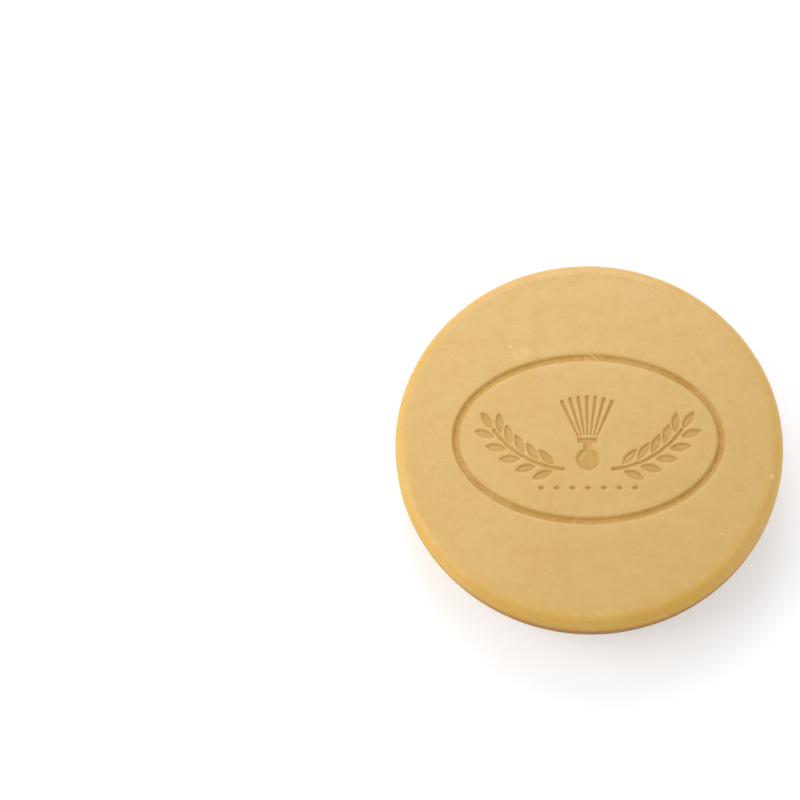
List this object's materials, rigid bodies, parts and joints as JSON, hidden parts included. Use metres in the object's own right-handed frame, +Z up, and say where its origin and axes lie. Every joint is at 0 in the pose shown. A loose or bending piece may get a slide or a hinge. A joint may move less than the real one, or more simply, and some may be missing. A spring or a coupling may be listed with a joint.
{
  "type": "shaving soap puck",
  "caption": "Round milled shaving soap cake with a soft rounded rim, a flat back, and an oval groove round a debossed brush-and-leaf emblem on its face",
  "frame": {"origin": "centre of the flat back, where the cake rests", "axes": "+Z up, out of the stamped face; +X along the long axis of the stamped oval; +Y towards the top of the emblem"},
  "size_m": [0.0856, 0.0856, 0.0165],
  "materials": {
    "soap": "hard milled soap, warm cream-yellow, smooth satin with a faint pressed grain"
  },
  "bodies": {
    "root": {"soap_cake": "soap"}
  },
  "joints": []
}
